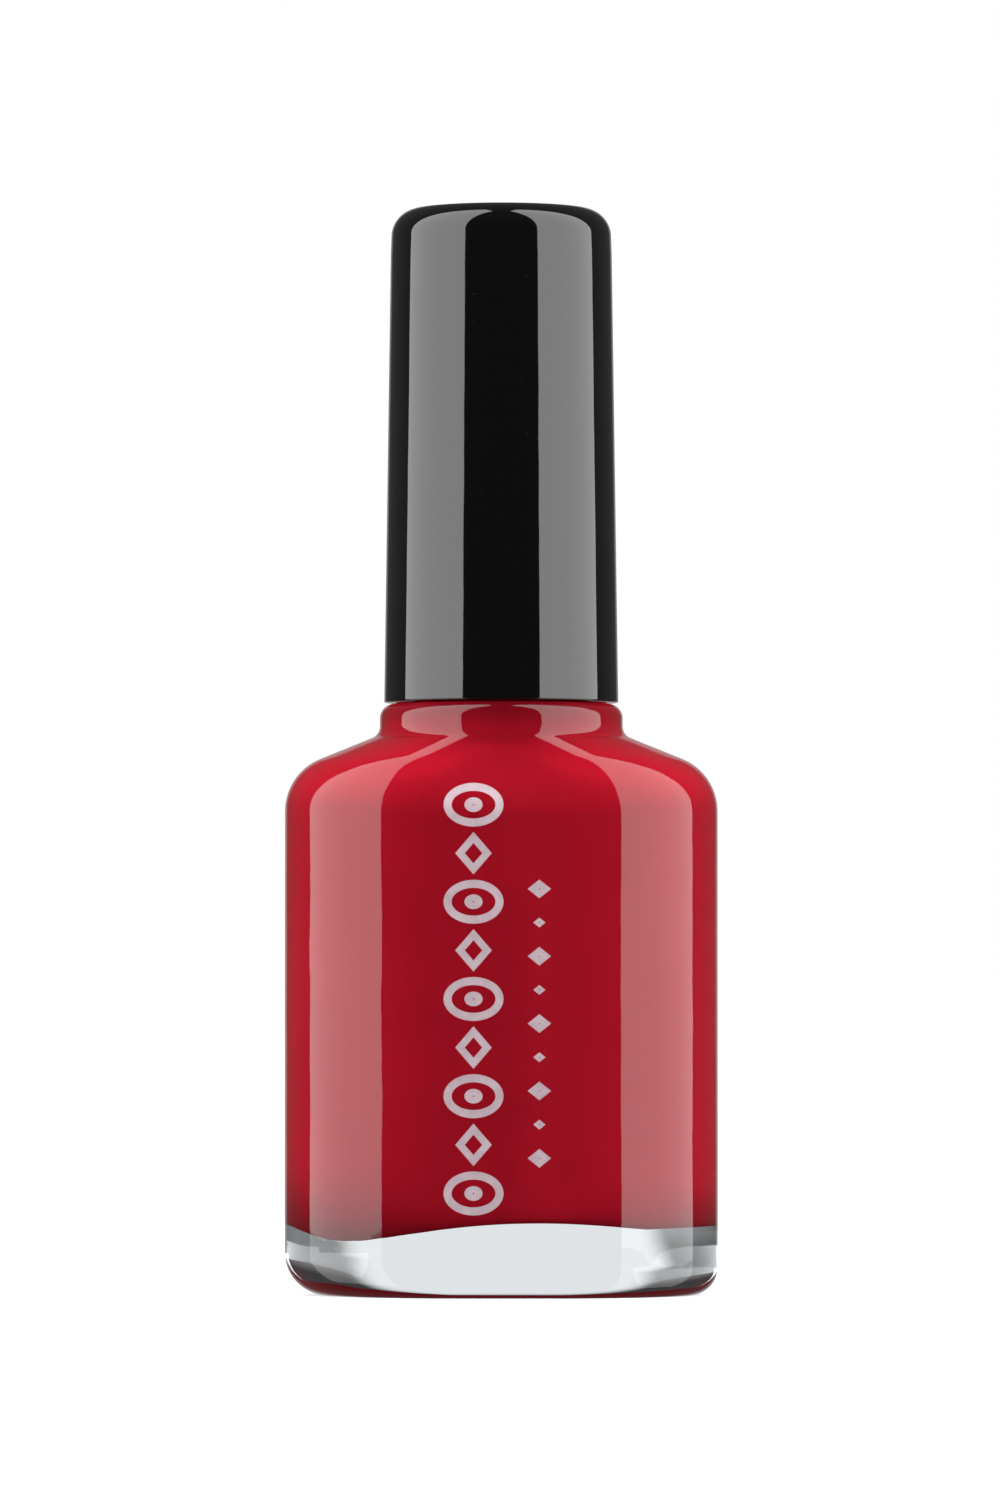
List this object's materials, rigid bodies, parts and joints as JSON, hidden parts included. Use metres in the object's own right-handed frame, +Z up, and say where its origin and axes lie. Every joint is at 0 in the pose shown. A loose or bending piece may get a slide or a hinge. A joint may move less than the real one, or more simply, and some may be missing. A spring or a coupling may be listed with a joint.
{
  "type": "nail polish bottle",
  "caption": "Obround glass bottle of red nail lacquer with a tall tapering screw cap that carries the brush.",
  "frame": {"origin": "middle of the ring of glass that the bottle stands on", "axes": "+Z up along the neck and the cap, X across the width of the bottle, -Y its front face"},
  "size_m": [0.03, 0.02, 0.0753],
  "materials": {
    "flint_glass": "polished",
    "red_lacquer": "gloss",
    "ball_steel": "polished",
    "shell_plastic": "gloss",
    "inner_plastic": "satin",
    "liner_film": "satin",
    "liner_foam": "matte",
    "stem_plastic": "satin",
    "anchor_wire": "satin",
    "nylon_filament": "satin"
  },
  "bodies": {
    "bottle": {"glass_bottle": "flint_glass", "lacquer": "red_lacquer", "mixing_ball_1": "ball_steel", "mixing_ball_2": "ball_steel"},
    "facing": {"liner_facing": "liner_film"},
    "pad": {"liner_pad": "liner_foam"},
    "cap": {"outer_cap": "shell_plastic", "inner_cap": "inner_plastic", "brush_stem": "stem_plastic", "brush_anchor": "anchor_wire", "bristles": "nylon_filament"}
  },
  "joints": [
    {"name": "cap_pull", "type": "slide", "parent": "bottle", "child": "facing", "axis": [0, 0, 1], "range_m": [0, 0.055]},
    {"name": "thread_rise", "type": "slide", "parent": "facing", "child": "pad", "axis": [0, 0, 1], "range_m": [0, 0.00531]},
    {"name": "cap_turn", "type": "hinge", "parent": "pad", "child": "cap", "pos_m": [0, 0, 0.0523], "axis": [0, 0, 1], "range_deg": [0, 900]}
  ],
  "couplings": [
    {"joint": "thread_rise", "follows": "cap_turn", "m_per_rad": 0.00033741}
  ]
}
